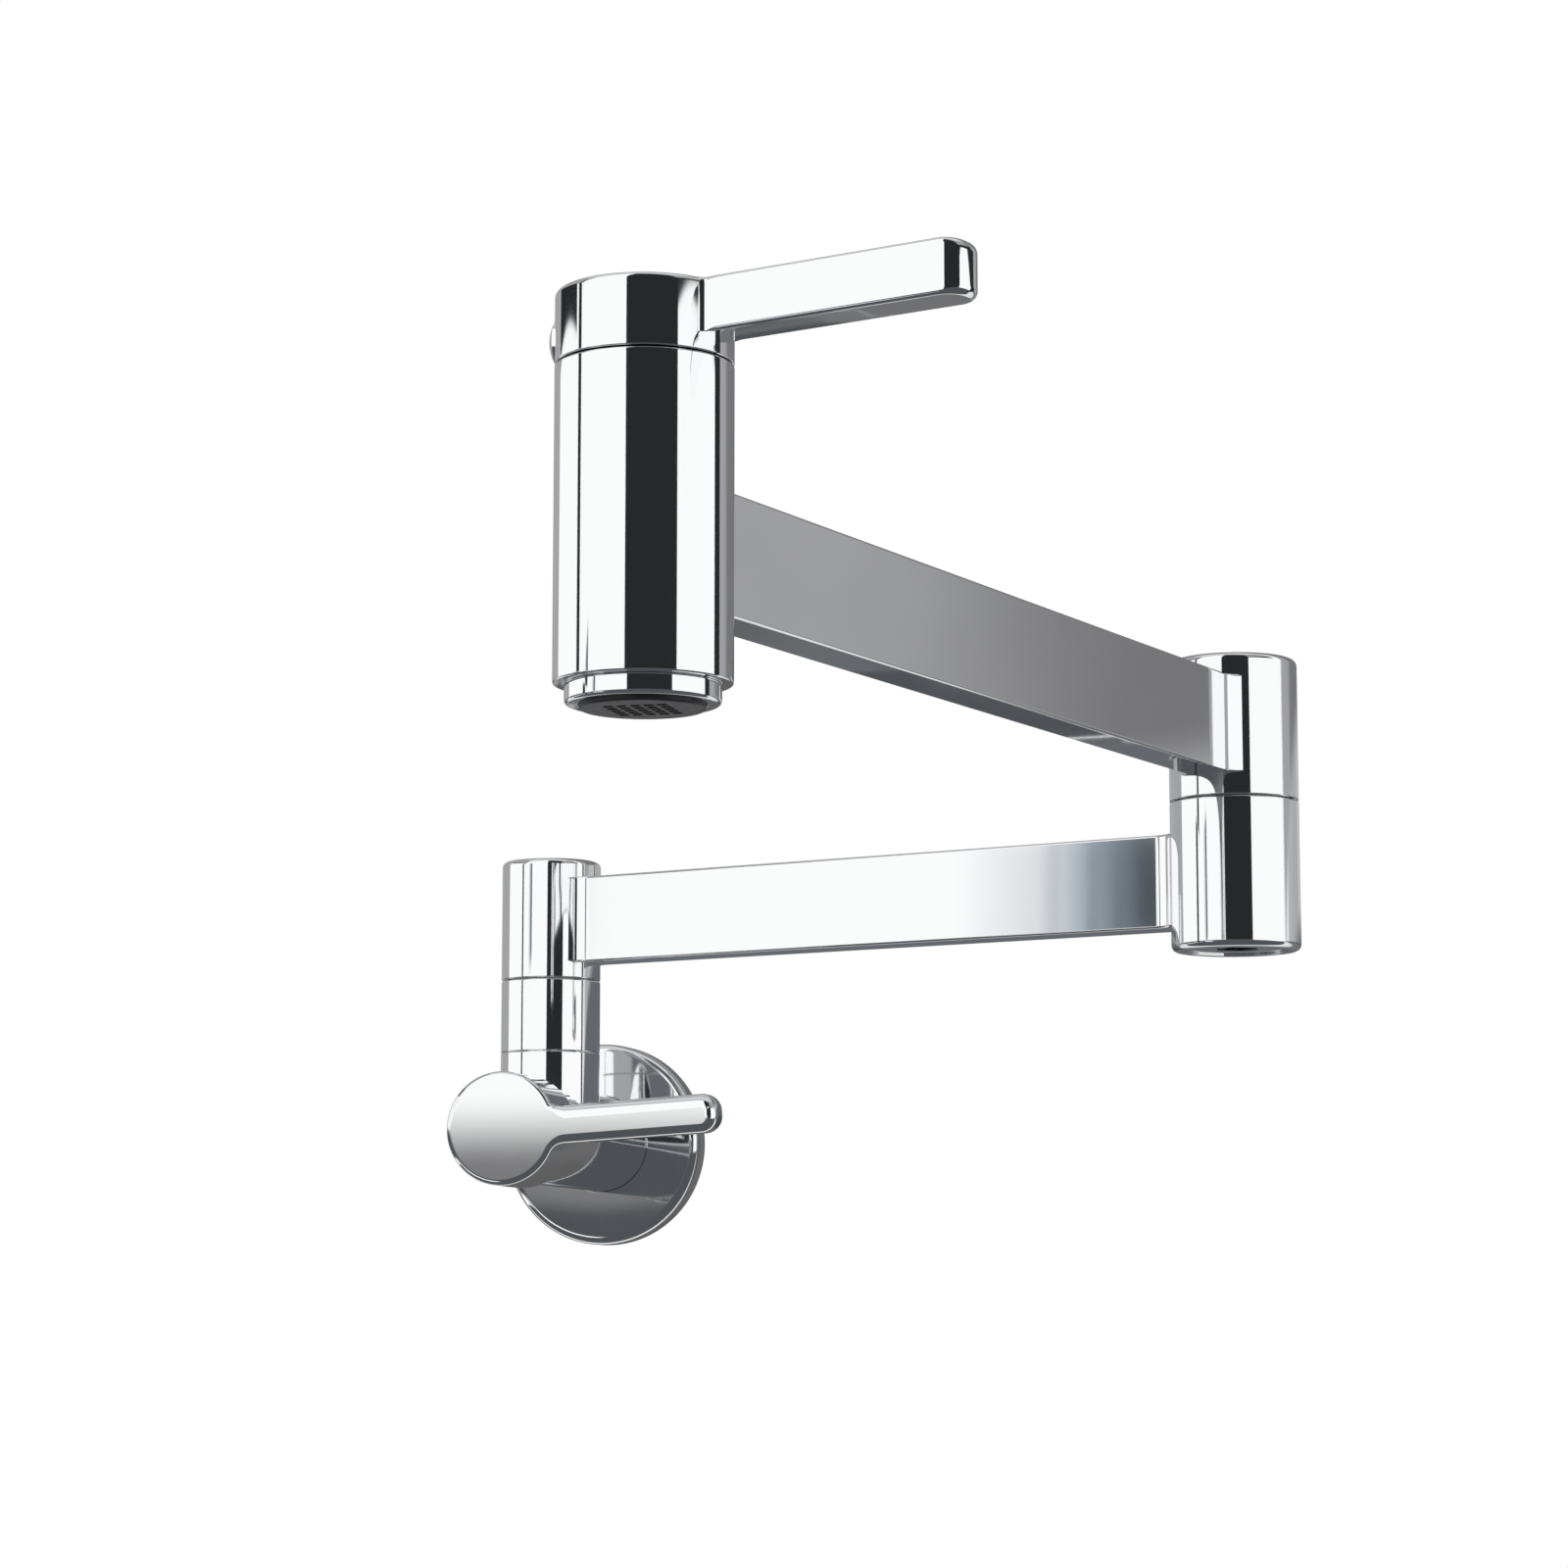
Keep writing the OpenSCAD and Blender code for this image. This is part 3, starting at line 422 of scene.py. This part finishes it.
def lever_outline(cap_r, reach, half, tip_r, blends):
    """Points and normals round a cap with a bar along +x; blends are the hollow radii below and above."""
    points, normals = [], []

    def add(p, n):
        points.append(p)
        normals.append(n + 0 * p)

    def hollow(blend):
        centre = np.array([sqrt((cap_r + blend) ** 2 - (half + blend) ** 2), half + blend])
        touch = degrees(atan2(centre[1], centre[0]))
        bend = arc(centre, blend, touch + 180, 270, HOLLOW_STEPS)
        return touch, bend, (centre - bend) / blend

    (low_touch, low_bend, low_out), (high_touch, high_bend, high_out) = map(hollow, blends)
    flip = np.array([1, -1])
    circle = arc((0, 0), cap_r, high_touch, 360 - low_touch, CAP_STEPS)
    add(circle, circle / cap_r)
    add(low_bend[1:] * flip, low_out[1:] * flip)
    root, tip = degrees(atan2(half, low_bend[-1, 0])), degrees(atan2(half, reach - tip_r))
    side = half / np.tan(np.radians(np.linspace(root, tip, SIDE_STEPS)[1:-1]))
    add(np.stack([side, -half + 0 * side], -1), np.array([0, -1]))
    corner = arc((0, 0), tip_r, -90, 0, TIP_STEPS)
    add(corner + [reach - tip_r, tip_r - half], corner / tip_r)
    corner = arc((0, 0), tip_r, 0, 90, TIP_STEPS)
    add(corner + [reach - tip_r, half - tip_r], corner / tip_r)
    root = degrees(atan2(half, high_bend[-1, 0]))
    side = half / np.tan(np.radians(np.linspace(tip, root, SIDE_STEPS)[1:-1]))
    add(np.stack([side, half + 0 * side], -1), np.array([0, 1]))
    add(high_bend[:0:-1], high_out[:0:-1])
    return np.concatenate(points), np.concatenate(normals)


def lever(cap_r, outline, low, bar_low, top, cap_edge, bar_edge, room, lean=0.0, swell=0.0):
    """Grid of a cap with its bar, hollow below a roof as thick as ROOF. Over ROOT_LEN the rounding
    goes from cap_edge to bar_edge. A lean makes it wider on the bar's +y side and narrower on the
    other, and a swell makes it wider at the tip. A FLAT_RIM inside the rounding keeps the flat top
    from taking on any of its slope."""
    p, n = outline
    beyond = np.linalg.norm(p, axis=1, keepdims=True) - cap_r
    blend = np.clip(beyond / ROOT_LEN, 0, 1)
    blend = blend * blend * (3 - 2 * blend)
    t = np.radians(np.linspace(90, 0, EDGE_STEPS + 1))[:, None, None]
    tip = swell * np.maximum(n[:, :1], 0) * blend
    under = bar_edge * blend + tip / 2
    over = cap_edge + (bar_edge - cap_edge + lean * n[:, 1:]) * blend + tip
    lower = np.concatenate([p - under * (1 - np.cos(t)) * n, bar_low + under * (1 - np.sin(t))], -1)
    upper = np.concatenate([p - over * (1 - np.cos(t)) * n, top - over * (1 - np.sin(t))], -1)[::-1]
    circle = cap_r * p / np.linalg.norm(p, axis=1, keepdims=True)
    inside = rounded([(0, top - ROOF, 0), (room, top - ROOF, 0.5), (room, low, 0.1),
                      (cap_r, low, SEAM_EDGE), (cap_r, bar_low, 0)])
    r, z = inside[:, 0, None, None], inside[:, 1, None, None]
    cap = np.concatenate([circle * r / cap_r, z + 0 * beyond], -1)
    level = np.concatenate([p - (over + FLAT_RIM) * n, top + 0 * beyond], -1)
    middle = np.concatenate([0 * p, top + 0 * beyond], -1)
    return np.concatenate([cap, lower, upper, level[None], middle[None]])


# %% [markdown]
# ### The two levers and the button
#
# The bar of the spout's lever is square with narrow roundings. That of the wall lever is softer,
# most of all along its upper side. The button is a cap of a sphere, laid on its side and sunk into
# the rim of the spout's lever. Its radius follows from its width and from how far it stands out.

# %% The two levers and the button
CAP_EDGE, SPOUT_BAR_H, HUB_BAR_H = 1.2, 10.6, 9

outline = lever_outline(SPOUT_R, reach=71.3, half=4.9, tip_r=4.3, blends=(1.5, 1.5))
grid = lever(SPOUT_R, outline, low=CAP_SEAM + GAP, bar_low=CAP_TOP - SPOUT_BAR_H, top=CAP_TOP,
             cap_edge=CAP_EDGE, bar_edge=0.9, room=14.0, swell=1.5)
piece("spout_lever", "spout_handle", [upright(grid, SPOUT, SPOUT_TURN)])

outline = lever_outline(HUB_R, reach=58.8, half=5.1, tip_r=4.4, blends=(4.0, 0.8))
grid = lever(HUB_R, outline, low=HUB_OUT - HUB_LEN, bar_low=HUB_OUT - HUB_BAR_H, top=HUB_OUT,
             cap_edge=CAP_EDGE, bar_edge=2.7, room=12.0, lean=0.8)
piece("wall_lever", "wall_handle", [from_wall(grid, WALL_TILT)])

BUTTON_R, BUTTON_PROUD, BUTTON_SINK, BUTTON_Z = 4.6, 1.4, 1.5, 132.6
BUTTON_TURN, BUTTON_AROUND, BUTTON_STEPS = 200, 96, 16
dome_r = (BUTTON_R ** 2 + BUTTON_PROUD ** 2) / (2 * BUTTON_PROUD)
dome_low = degrees(atan2(dome_r - BUTTON_PROUD, BUTTON_R))
dome = arc((0, BUTTON_PROUD - dome_r), dome_r, dome_low, 90, BUTTON_STEPS)
dome = np.concatenate([[(0, -BUTTON_SINK), (BUTTON_R, -BUTTON_SINK)], dome])
dome[-1, 0] = 0
button = turned(dome, BUTTON_AROUND)
button = np.stack([button[..., 2] + SPOUT_R, button[..., 0], button[..., 1] + BUTTON_Z], -1)
piece("spout_lever_button", "spout_handle", [upright(button, SPOUT, SPOUT_TURN + BUTTON_TURN)])

# %% [markdown]
# ## Materials written as sums
#
# A shader is a formula, and a formula is easier to read as `a * b + c` than as a row of boxes.
# `Wire` holds one output socket. Python's own signs are taught what to do with it, also when the
# number stands first, and `Tree.node` makes any other node by its type.

# %% Shader arithmetic
class Wire:
    """One output socket; plus, minus and times on it make Math nodes."""

    def __init__(self, tree, socket):
        self.tree, self.socket = tree, socket

    def maths(self, operation, first, second):
        return self.tree.node("ShaderNodeMath", {"operation": operation}, {0: first, 1: second})

    def __add__(self, other):
        return self.maths("ADD", self, other)

    def __sub__(self, other):
        return self.maths("SUBTRACT", self, other)

    def __rsub__(self, other):
        return self.maths("SUBTRACT", other, self)

    def __mul__(self, other):
        return self.maths("MULTIPLY", self, other)

    __rmul__ = __mul__


class Tree:
    """The node tree of a material or a world, emptied of its own nodes."""

    def __init__(self, owner):
        owner.use_nodes = True
        self.tree = owner.node_tree
        self.tree.nodes.clear()

    def node(self, kind, settings=None, inputs=None, output=0):
        """Makes a node: its settings first, then each input as a plain value or as a Wire."""
        made = self.tree.nodes.new(kind)
        for name, value in (settings or {}).items():
            setattr(made, name, value)
        for name, value in (inputs or {}).items():
            if isinstance(value, Wire):
                self.tree.links.new(value.socket, made.inputs[name])
            else:
                made.inputs[name].default_value = value
        return Wire(self, made.outputs[output]) if made.outputs else None

    def place(self, stretch=(1, 1, 1)):
        """Object coordinates, stretched along each axis."""
        at = self.node("ShaderNodeTexCoord", output="Object")
        return self.node("ShaderNodeMapping", {}, {"Vector": at, "Scale": stretch})

    def noise(self, scale, detail=2.0, stretch=(1, 1, 1)):
        return self.node("ShaderNodeTexNoise", {}, {
            "Vector": self.place(stretch), "Scale": scale, "Detail": detail})

    def surface(self, shader, kind="ShaderNodeOutputMaterial"):
        self.node(kind, {}, {"Surface": shader})


def material(name, colour, metallic, roughness, spread, scale, bump=0.0, stretch=(1, 1, 1)):
    """A plain finish whose roughness wanders by a spread; a bump makes it faintly uneven."""
    made = bpy.data.materials.new(name)
    tree = Tree(made)
    wander = tree.noise(scale, 3.0, stretch) * spread + (roughness - spread / 2)
    inputs = {"Base Color": (*colour, 1), "Metallic": metallic, "Roughness": wander}
    if bump:
        inputs["Normal"] = tree.node("ShaderNodeBump", {}, {
            "Strength": 1.0, "Distance": bump, "Height": tree.noise(scale / 2, 1.0)})
    tree.surface(tree.node("ShaderNodeBsdfPrincipled", {}, inputs))
    return made


# Each row holds the name, colour, metallic, roughness, spread of the roughness and scale of its noise.
MATERIALS = {
    "chrome": material("chrome", (0.96, 0.965, 0.97), 1.0, 0.045, 0.03, 90),
    "brass": material("brass", (0.78, 0.60, 0.30), 1.0, 0.28, 0.1, 300, stretch=(1, 1, 6)),
    "steel": material("steel", (0.60, 0.60, 0.61), 1.0, 0.32, 0.1, 400),
    "rubber": material("rubber", (0.025, 0.025, 0.027), 0.0, 0.55, 0.1, 500),
    "foam": material("foam", (0.06, 0.06, 0.06), 0.0, 0.9, 0.1, 900, bump=0.0001),
    "ceramic": material("ceramic", (0.86, 0.85, 0.82), 0.0, 0.12, 0.04, 200),
    "bush": material("bush", (0.80, 0.78, 0.72), 0.0, 0.45, 0.1, 300),
    "dark_plastic": material("dark plastic", (0.018, 0.018, 0.020), 0.0, 0.38, 0.12, 400),
}
slots = {row["node"]: row["material_slot"] for row in frame["record"]["subparts"]}
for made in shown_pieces():
    slot = slots[made.name.removesuffix("_shape")]
    made.data.materials.clear()
    made.data.materials.append(MATERIALS[slot])
print("materials:", sorted(MATERIALS))

# %% [markdown]
# ## The room that the chrome sees
#
# A photographer puts polished metal in a tent of white cloth and lets in a few dark strips,
# because the strips draw the edges of every round post. Here the tent is a ring of upright cards.
# Only reflections see them: they light nothing and hide nothing. A card has one tone, or a tone that
# changes with its height and, on the front and back walls, along its length. `toned` writes such a
# tone as a list of stops, and between two stops the colour changes in a soft step.

# %% Tones on a card
DARK = (0.021, 0.022, 0.024)
GRAPHITE = (0.055, 0.069, 0.076)
SLATE = (0.078, 0.085, 0.093)
DIM = (0.130, 0.140, 0.155)
MIST, PEWTER, LEAD = (0.40, 0.45, 0.50), (0.20, 0.24, 0.28), (0.11, 0.135, 0.16)
WHITE = (1.0, 1.0, 1.0)
X, Y, Z = 0, 1, 2


def grey(value):
    """A neutral tone."""
    return (value, value, value * 1.02)


def fade(tree, value, start, end):
    """A soft step of a value from 0 at start to 1 at end."""
    return tree.node("ShaderNodeMapRange", {"interpolation_type": "SMOOTHSTEP"}, {
        "Value": value, "From Min": start, "From Max": end})


def mixed(tree, factor, first, second, blend="MIX"):
    """Two colours blended by a factor; a Mix node takes them at 6 and 7 and gives the blend at 2."""
    first, second = (c if isinstance(c, Wire) else (*c, 1) for c in (first, second))
    return tree.node("ShaderNodeMix", {"data_type": "RGBA", "blend_type": blend}, {
        0: factor, 6: first, 7: second}, 2)


def toned(tree, value, stops):
    """A colour that passes through stops of (value, colour) in soft steps."""
    found = stops[0][1]
    for (start, _), (end, colour) in zip(stops, stops[1:]):
        found = mixed(tree, fade(tree, value, start, end), found, colour)
    return found


def at(tree, axis):
    """One coordinate of the shaded point, in metres."""
    return tree.node("ShaderNodeSeparateXYZ", {}, {0: tree.place()}, axis)


def plain(tone):
    """One tone all over a card."""
    return lambda tree: (*tone, 1)


def reflect_only(made):
    """Keeps a stage object out of sight of everything but mirrors."""
    for way in ("camera", "diffuse", "transmission", "volume_scatter", "shadow"):
        setattr(made, "visible_" + way, False)


def card(name, corners, colour_of):
    """A card with four corners that gives off colour_of(tree) and is seen by reflections only."""
    mesh = bpy.data.meshes.new(name)
    mesh.from_pydata(corners, [], [(0, 1, 2, 3)])
    made = bpy.data.objects.new(name, mesh)
    bpy.context.scene.collection.objects.link(made)
    finish = bpy.data.materials.new(name)
    tree = Tree(finish)
    tree.surface(tree.node("ShaderNodeEmission", {}, {"Color": colour_of(tree), "Strength": 1.0}))
    finish.cycles.emission_sampling = "NONE"
    mesh.materials.append(finish)
    reflect_only(made)


# %% [markdown]
# ### Tones of the walls
#
# A wall is white or grey over a dark foot, so a flat face that looks at it falls softly from light
# to dark. The left and right walls have a dark band higher up, with grey above it. The front left
# wall is what the lower arm looks at. A streaky shade on it gives the arm its dark elbow end, and
# low down it has one bright patch. The back wall is grey and a little cloudy.

# %% Tones of the walls
FOOT_STOPS = [(-0.004, SLATE), (0.010, grey(0.20)), (0.016, grey(0.20)), (0.047, WHITE)]
LOW_STOPS = [(-0.24, WHITE), (-0.205, SLATE)] + FOOT_STOPS
DEEP_STOPS = [(-0.060, SLATE), (-0.030, WHITE)]
SHADE_STOPS = [(-0.510, WHITE), (-0.460, grey(0.78)), (-0.425, MIST), (-0.406, PEWTER), (-0.386, LEAD),
               (-0.372, GRAPHITE), (-0.362, GRAPHITE), (-0.352, WHITE)]
BAND_EDGE, BAND_TOP, GREY_LOW = 0.006, 0.43, 0.46
STREAK_SCALE, STREAK_STRETCH, STREAK_SHIFT = 130, (1, 1, 0.02), 0.05
CLOUD_SCALE, CLOUD = 14, 0.24


def white_wall(foot, top=None, lean=0.0):
    """White over the stops of a dark foot. From the height top, which may lean with y, there is a
    dark band and then grey."""
    def colour_of(tree):
        below = toned(tree, at(tree, Z), foot)
        if top is None:
            return below
        return toned(tree, at(tree, Z) + lean * at(tree, Y), [
            (top, below), (top + BAND_EDGE, DARK), (BAND_TOP, DARK), (GREY_LOW, grey(0.35))])
    return colour_of


def back_wall(tree):
    """Grey that is dim at its foot and behind the elbow, pale at the very bottom, and mottled."""
    x, z = at(tree, X), at(tree, Z)
    foot = toned(tree, x, [(0.02, grey(0.115)), (0.05, grey(0.14)), (0.08, GRAPHITE), (0.115, GRAPHITE),
                           (0.15, grey(0.17))])
    middle = toned(tree, x, [(0.10, grey(0.40)), (0.120, grey(0.40)), (0.126, grey(0.13)),
                             (0.137, grey(0.13)), (0.143, grey(0.50)), (0.28, grey(0.50)),
                             (0.33, grey(0.40)), (0.60, grey(0.45)), (0.80, grey(0.75))])
    upper = toned(tree, x, [(-0.05, grey(0.37)), (0.0, grey(0.17)), (0.40, grey(0.19)), (0.56, grey(0.36))])
    right = toned(tree, z, [(0.058, DIM), (0.075, middle), (0.115, middle), (0.140, upper)])
    wall = toned(tree, x, [(-0.060, grey(0.37)), (-0.035, right)])
    whole = toned(tree, z, [(-0.12, grey(0.75)), (-0.06, foot), (0.0, foot), (0.025, wall)])
    cloud = tree.noise(CLOUD_SCALE, 6.0) * CLOUD + (1 - CLOUD / 2)
    return mixed(tree, 1.0, whole, cloud, "MULTIPLY")


def front_gap(tree):
    """Dark, with a foot a little lighter."""
    return toned(tree, at(tree, Z), [(0.020, SLATE), (0.065, DARK)])


def ceiling(tree):
    """Grey, and paler towards the back."""
    return toned(tree, at(tree, Y), [(-0.6, grey(0.45)), (-0.2, grey(0.70))])


def front_left(tree):
    """White over a dark foot, with the streaky shade and the low bright patch."""
    x, z = at(tree, X), at(tree, Z)
    streaks = tree.noise(STREAK_SCALE, 3.0, STREAK_STRETCH) - 0.5
    shade = toned(tree, x + streaks * STREAK_SHIFT, SHADE_STOPS)
    deep = toned(tree, x, [(-0.54, SLATE), (-0.48, WHITE), (-0.24, WHITE), (-0.20, SLATE)])
    return toned(tree, z, [(-0.14, deep), (-0.09, SLATE)] + FOOT_STOPS
                 + [(0.112, WHITE), (0.120, shade), (0.176, shade), (0.180, WHITE)])


print("stops: low", len(LOW_STOPS), "deep", len(DEEP_STOPS), "shade", len(SHADE_STOPS))

# %% [markdown]
# ### The ring of cards
#
# The cards go round the tap in the order of the list. The gap in the front wall is the wide dark
# stripe on every post. Two dark cards close to the left wall, one below and one above SEAM_STEP,
# draw the narrow line left of it. On the right a white wing runs back, and a dark card beside it
# stands edge on to the elbow post. A dark ground and a grey ceiling close the tent.

# %% Ring of cards
CARD_LOW, CARD_HIGH, SEAM_STEP = -0.3, 1.1, 0.19
TENT = [(-0.8, -0.9), (1.2, -0.9), (1.2, 0.3), (-0.8, 0.3)]
RING = [
    ("left_wall_back", (-0.605, 0.013), (-0.641, -0.530), white_wall(LOW_STOPS, 0.325)),
    ("left_wall_front", (-0.641, -0.530), (-0.66, -0.716), white_wall(LOW_STOPS, 0.37)),
    ("front_left", (-0.66, -0.716), (0.089, -0.696), front_left),
    ("front_gap", (0.089, -0.696), (0.641, -0.705), front_gap),
    ("right_wall", (0.641, -0.705), (0.64, -0.129), white_wall(DEEP_STOPS, 0.2555, 0.05)),
    ("right_wing", (0.64, -0.129), (1.056, 0.092), white_wall(DEEP_STOPS)),
    ("right_gap", (1.056, 0.092), (0.60, -0.021), plain(DARK)),
    ("back_wall", (1.13, 0.141), (-0.605, 0.013), back_wall)]


def upright_card(name, start, end, colour_of, low=CARD_LOW, high=CARD_HIGH):
    """A card over the line from start to end on the ground, between two heights."""
    card(name, [(*start, low), (*end, low), (*end, high), (*start, high)], colour_of)


for name, start, end, colour_of in RING:
    upright_card(name, start, end, colour_of)
upright_card("low_seam", (-0.636, -0.513), (-0.640, -0.585), plain(DARK), high=SEAM_STEP)
upright_card("high_seam", (-0.641, -0.577), (-0.645, -0.653), plain(DARK), low=SEAM_STEP)
for name, level, colour_of in [("ground_card", CARD_LOW, plain(SLATE)), ("ceiling", CARD_HIGH, ceiling)]:
    card(name, [(x, y, level) for x, y in TENT], colour_of)
print("ring:", ", ".join(row[0] for row in RING))

# %% [markdown]
# ## Floor, background and lamp
#
# The picture is a cut-out on white. The world is white for the camera and for mirrors, and a plain
# soft grey for everything it lights. One large lamp from the upper left gives the dark plastic and
# the floor a soft shadow. The floor is seen from above only, so that it never stands between the
# object and an eye below it, and it fades out towards its rim, so that no edge shows.

# %% Floor, background and lamp
FLOOR_Z, FLOOR_HALF = -0.42, 1.5
AMBIENT = 0.65
LAMP_SIZE, LAMP_POWER, LAMP_TILT, LAMP_TURN = 1.2, 12, 30, -38

corners = [(x * FLOOR_HALF, y * FLOOR_HALF, FLOOR_Z) for x, y in ((-1, -1), (1, -1), (1, 1), (-1, 1))]
floor_mesh = bpy.data.meshes.new("floor")
floor_mesh.from_pydata(corners, [], [(0, 1, 2, 3)])
floor = bpy.data.objects.new("floor", floor_mesh)
bpy.context.scene.collection.objects.link(floor)
pale = bpy.data.materials.new("pale floor")
tree = Tree(pale)
seen_from_below = tree.node("ShaderNodeNewGeometry", output="Backfacing")
distance = tree.node("ShaderNodeVectorMath", {"operation": "LENGTH"}, {0: tree.place()}, "Value")
hidden = 1 - (1 - seen_from_below) * fade(tree, distance, FLOOR_HALF, FLOOR_HALF / 2)
matt = tree.node("ShaderNodeBsdfPrincipled", {}, {"Base Color": (0.88, 0.88, 0.88, 1), "Roughness": 0.9})
clear = tree.node("ShaderNodeBsdfTransparent")
tree.surface(tree.node("ShaderNodeMixShader", {}, {0: hidden, 1: matt, 2: clear}))
floor_mesh.materials.append(pale)

world = bpy.data.worlds.new("world")
bpy.context.scene.world = world
tree = Tree(world)
rays = [tree.node("ShaderNodeLightPath", output=f"Is {kind} Ray")
        for kind in ("Camera", "Glossy", "Transmission")]
shown = rays[0] + rays[1] + rays[2]
strength = fade(tree, shown, 0.0, 1.0) * (1 - AMBIENT) + AMBIENT
tree.surface(tree.node("ShaderNodeBackground", {}, {"Color": (1, 1, 1, 1), "Strength": strength}),
             kind="ShaderNodeOutputWorld")

lamp_data = bpy.data.lights.new("soft lamp", "AREA")
lamp_data.shape, lamp_data.size, lamp_data.energy = "DISK", LAMP_SIZE, LAMP_POWER
lamp = bpy.data.objects.new("soft lamp", lamp_data)
lamp.location = (-0.7, -0.9, 1.5)
lamp.rotation_euler = Euler((radians(LAMP_TILT), 0, radians(LAMP_TURN)))
lamp.visible_glossy = False
bpy.context.scene.collection.objects.link(lamp)
print("floor at", FLOOR_Z, "m, world", AMBIENT, "for what it lights, lamp of", LAMP_POWER, "W")

# %% [markdown]
# ## Camera
#
# The lens and the place were found by fitting one camera to the measured posts: it stands below
# and to the right of the tap and looks up at it, so the undersides of the arms show.

# %% Camera
SENSOR, LENS, CAMERA_PITCH, CAMERA_YAW = 36, 90.64, 7.905, 14.362
camera_data = bpy.data.cameras.new("camera")
camera_data.sensor_width, camera_data.lens = SENSOR, LENS
camera = bpy.data.objects.new("camera", camera_data)
camera.location = (0.32995, -1.08685, -0.05305)
camera.rotation_euler = Euler((radians(90 + CAMERA_PITCH), 0, radians(CAMERA_YAW)))
bpy.context.scene.collection.objects.link(camera)
bpy.context.scene.camera = camera
bpy.context.scene.view_settings.view_transform = "Standard"
print("camera at", [round(c, 4) for c in camera.location], "m with a lens of", LENS, "mm")
